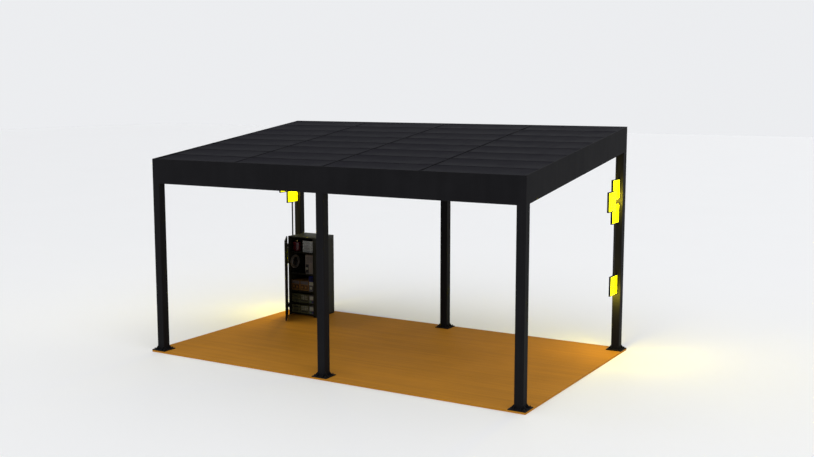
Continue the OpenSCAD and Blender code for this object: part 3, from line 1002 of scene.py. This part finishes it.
class MakeInverter(bpy.types.Operator):
    """Inverter with face plates above one another, each with louvres, a grip and screws"""
    bl_idname = "pergola.inverter"
    bl_label = "Inverter"

    def execute(self, context):
        low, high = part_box("inverter")
        levels = sorted({round(v.co.z, 4) for v in frame["nodes"]["inverter"].data.vertices})
        fronts = [v.co.y for v in frame["nodes"]["inverter"].data.vertices]
        depth = sorted({round(y - low.y, 4) for y in fronts})[1]
        body = box("body", (low.x, low.y + depth, low.z), high)
        parts = [painted(round_edges(body, 0.003, 2), "black")]
        for foot, top in zip(levels[0::2], levels[1::2]):
            corner_low, corner_high = Vector((low.x, low.y, foot)), Vector((high.x, low.y + depth + 0.002, top))
            plate = inset_faces(box("plate", corner_low, corner_high), facing((0, -1, 0)), 0.003, -0.001)
            parts.append(painted(round_edges(plate, 0.0015, 2), "alloy"))
            parts += [face_pad(corner_low, corner_high, (0.10, 0.62), (0.22 + 0.16 * k, 0.29 + 0.16 * k),
                               0.0008, "black", 0.0003) for k in range(4)]
            parts.append(face_pad(corner_low, corner_high, (0.70, 0.90), (0.40, 0.60), 0.006, "grey"))
            parts += [face_knob(corner_low, corner_high, across, 0.5, 0.004, 0.001, "zinc") for across in (0.04, 0.96)]
        finish_piece(join(parts, "inverter_case"), None, stands_for=["inverter"])
        return {"FINISHED"}


class MakeCanister(bpy.types.Operator):
    """Red canister with a domed shoulder, neck, valve and clamp band"""
    bl_idname = "pergola.canister"
    bl_label = "Red canister"

    def execute(self, context):
        low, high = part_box("red_canister")
        middle = (low + high) / 2
        radius = (high.x - low.x) / 2
        neck = neck_height("red_canister")
        top = high.z - neck
        body = round_edges(rod("body", (middle.x, middle.y, low.z), radius, top - low.z, 64), 0.018, 5, 50.0)
        cap = rod("cap", (middle.x, middle.y, top - 0.002), 0.022, neck + 0.002, 32)
        inset_faces(cap, facing((0, 0, 1)), 0.005, -0.004)
        band = rod("band", (middle.x, middle.y, low.z + (top - low.z) * 0.55), radius + 0.0015, 0.010, 64)
        parts = [painted(body, "red"), painted(round_edges(cap, 0.0015, 2), "brass"),
                 painted(round_edges(band, 0.001, 2), "black")]
        finish_piece(join(parts, "canister_body"), None, stands_for=["red_canister"])
        return {"FINISHED"}


def neck_height(node):
    """Distance between a CAD node's two highest levels."""
    levels = sorted({round(v.co.z, 4) for v in frame["nodes"][node].data.vertices})
    return levels[-1] - levels[-2]


class MakeFan(bpy.types.Operator):
    """Fan with a rounded ring, guard wires, hub and blades on the cabinet's left wall"""
    bl_idname = "pergola.fan"
    bl_label = "Fan"

    def execute(self, context):
        low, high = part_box("fan_ring")
        middle = (low + high) / 2
        outer = (high.z - low.z) / 2
        radii = [(v.co - middle).yz.length for v in frame["nodes"]["fan_ring"].data.vertices]
        bore = min(radii)
        ring = rod("ring", (low.x, middle.y, middle.z), outer, high.x - low.x, 64, "X")
        inset_faces(ring, lambda c, n: abs(n.x) > 0.9, outer - bore, each=True)
        edit_faces(ring, lambda c, n: abs(n.x) > 0.9 and (c - middle).yz.length < 1e-3)
        bpy.ops.mesh.bridge_edge_loops()
        leave_edit()
        parts = [painted(round_edges(ring, 0.004, 3), "pale")]
        for share in (0.30, 0.52, 0.76, 0.97):
            clear_selection()
            bpy.ops.mesh.primitive_torus_add(
                major_radius=bore * share, minor_radius=0.0016, major_segments=48, minor_segments=8,
                location=(high.x - 0.003, middle.y, middle.z), rotation=(0, math.pi / 2, 0))
            parts.append(painted(smooth(settle(bpy.context.object, "wire")), "zinc"))
        hub = rod("hub", (low.x, middle.y, middle.z), bore * 0.24, 0.028, 32, "X")
        parts.append(painted(round_edges(hub, 0.003, 3), "black"))
        centre = Matrix.Translation((low.x + 0.014, middle.y, middle.z))
        blade = round_edges(box("blade", (-0.001, -bore * 0.13, bore * 0.2), (0.001, bore * 0.13, bore * 0.90)), 0.0006, 1)
        pitch = Matrix.Rotation(math.radians(28), 4, "Z")
        turns = [centre @ Matrix.Rotation(math.tau * k / 7, 4, "X") @ pitch for k in range(7)]
        parts.append(painted(spread(blade, turns, "blades"), "black"))
        spoke = round_edges(box("spoke", (-0.001, -0.0015, 0.0), (0.001, 0.0015, bore * 0.99)), 0.0005, 1)
        guard = Matrix.Translation((high.x - 0.003, middle.y, middle.z))
        turns = [guard @ Matrix.Rotation(math.tau * (k + 0.5) / 4, 4, "X") for k in range(4)]
        parts.append(painted(spread(spoke, turns, "spokes"), "zinc"))
        finish_piece(join(parts, "fan_assembly"), None, stands_for=["fan_ring"])
        return {"FINISHED"}


def smooth(piece):
    pick(piece)
    bpy.ops.object.shade_smooth_by_angle(angle=math.radians(40.0))
    return piece


# ---------------------------------------------------------------- stage

class MakeStage(bpy.types.Operator):
    """Pale floor and backdrop, soft studio lights and the camera"""
    bl_idname = "pergola.stage"
    bl_label = "Stage"

    def execute(self, context):
        scene = context.scene
        clear_selection()
        bpy.ops.mesh.primitive_plane_add(size=160.0, location=(0.0, 0.0, -0.001))
        ground = settle(bpy.context.object, "stage_ground")
        paint = Paint("stage_pale", Roughness=0.55, Specular_IOR_Level=0.25)
        tone = paint.noise(0.4, 2.0)
        colour = tuple(scene.pergola_colours.ground)
        paint.feed("Base Color", paint.mix(tone, shade(colour, 0.985), colour))
        ground.data.materials.append(paint.material)
        self.lights()
        self.camera(scene)
        scene.view_settings.view_transform = "Standard"
        return {"FINISHED"}

    @staticmethod
    def lights():
        """A soft light from the front right, weaker ones from the left and behind, and an even sky."""
        for name, turn, spread_angle, power in (("key", (38.0, 0.0, 32.0), 70.0, 1.65),
                                                ("fill", (52.0, 0.0, -58.0), 80.0, 0.45),
                                                ("rear", (-48.0, 0.0, -12.0), 80.0, 0.55)):
            data = bpy.data.lights.new(name, "SUN")
            data.energy = power
            data.angle = math.radians(spread_angle)
            lamp = bpy.data.objects.new(name, data)
            bpy.context.scene.collection.objects.link(lamp)
            lamp.rotation_euler = [math.radians(part) for part in turn]
        for side in ("left", "right"):
            panes = sorted(loose_boxes(f"lamp_panes_{side}"), key=lambda pane: pane[0].z)
            for (low, high), power in ((panes[0], 14.0), (panes[-1], 26.0)):
                for reach in (-0.06, 0.06):
                    data = bpy.data.lights.new("pane_glow", "POINT")
                    data.energy = power
                    data.color = (1.0, 0.82, 0.05)
                    data.shadow_soft_size = 0.03
                    lamp = bpy.data.objects.new("pane_glow", data)
                    bpy.context.scene.collection.objects.link(lamp)
                    lamp.location = ((low.x + high.x) / 2 + reach, (low.y + high.y) / 2, low.z)
                    lamp.visible_camera = False
                    lamp.visible_glossy = False
        world = bpy.data.worlds.new("sky")
        world.use_nodes = True
        tree = world.node_tree
        lit = tree.nodes["Background"]
        lit.inputs["Color"].default_value = (0.72, 0.74, 0.78, 1.0)
        lit.inputs["Strength"].default_value = 0.50
        seen = tree.nodes.new("ShaderNodeBackground")
        seen.inputs["Color"].default_value = (0.84, 0.85, 0.87, 1.0)
        path = tree.nodes.new("ShaderNodeLightPath")
        choose = tree.nodes.new("ShaderNodeMixShader")
        tree.links.new(path.outputs["Is Camera Ray"], choose.inputs[0])
        tree.links.new(lit.outputs[0], choose.inputs[1])
        tree.links.new(seen.outputs[0], choose.inputs[2])
        tree.links.new(choose.outputs[0], tree.nodes["World Output"].inputs["Surface"])
        bpy.context.scene.world = world

    @staticmethod
    def camera(scene):
        """Eye level a little above the front beam, off the right front corner."""
        eye = Vector((8.0695, -13.169, 3.9036))
        heading, dip = math.radians(-30.55), math.radians(7.53)
        aim = Vector((math.sin(heading) * math.cos(dip), math.cos(heading) * math.cos(dip), -math.sin(dip)))
        data = bpy.data.cameras.new("camera")
        data.lens = 46.335
        data.sensor_width = 36.0
        data.clip_end = 400.0
        camera = bpy.data.objects.new("camera", data)
        scene.collection.objects.link(camera)
        camera.location = eye
        camera.rotation_euler = aim.to_track_quat("-Z", "Y").to_euler()
        scene.camera = camera


# ---------------------------------------------------------------- add-on

class PergolaPanel(bpy.types.Panel):
    """Sidebar panel that lists the settings and the pieces"""
    bl_idname = "VIEW3D_PT_pergola"
    bl_label = "Pergola"
    bl_space_type = "VIEW_3D"
    bl_region_type = "UI"
    bl_category = "Pergola"

    def draw(self, context):
        for group in (context.scene.pergola_sizes, context.scene.pergola_colours):
            for key in group.__annotations__:
                self.layout.prop(group, key)
        for operator in OPERATORS:
            self.layout.operator(operator.bl_idname)


OPERATORS = (
    MakeFinishes, MakeStage, MakeRoofPanels, MakeRoofSeals, MakeAnchors, MakeRafterCleats, MakeLamps,
    MakeCabinetTrim, MakeDoor, MakeBatteries, MakeTerminalBoxes, MakePowerBox, MakeInverter,
    MakeCanister, MakeFan,
)
CLASSES = (PergolaSizes, PergolaColours, *OPERATORS, PergolaPanel)


def register():
    for cls in CLASSES:
        bpy.utils.register_class(cls)
    bpy.types.Scene.pergola_sizes = bpy.props.PointerProperty(type=PergolaSizes)
    bpy.types.Scene.pergola_colours = bpy.props.PointerProperty(type=PergolaColours)


def unregister():
    del bpy.types.Scene.pergola_colours
    del bpy.types.Scene.pergola_sizes
    for cls in reversed(CLASSES):
        bpy.utils.unregister_class(cls)


def main():
    register()
    for operator in OPERATORS:
        group, name = operator.bl_idname.split(".")
        getattr(getattr(bpy.ops, group), name)()
    clear_selection()


if __name__ == "__main__":
    main()
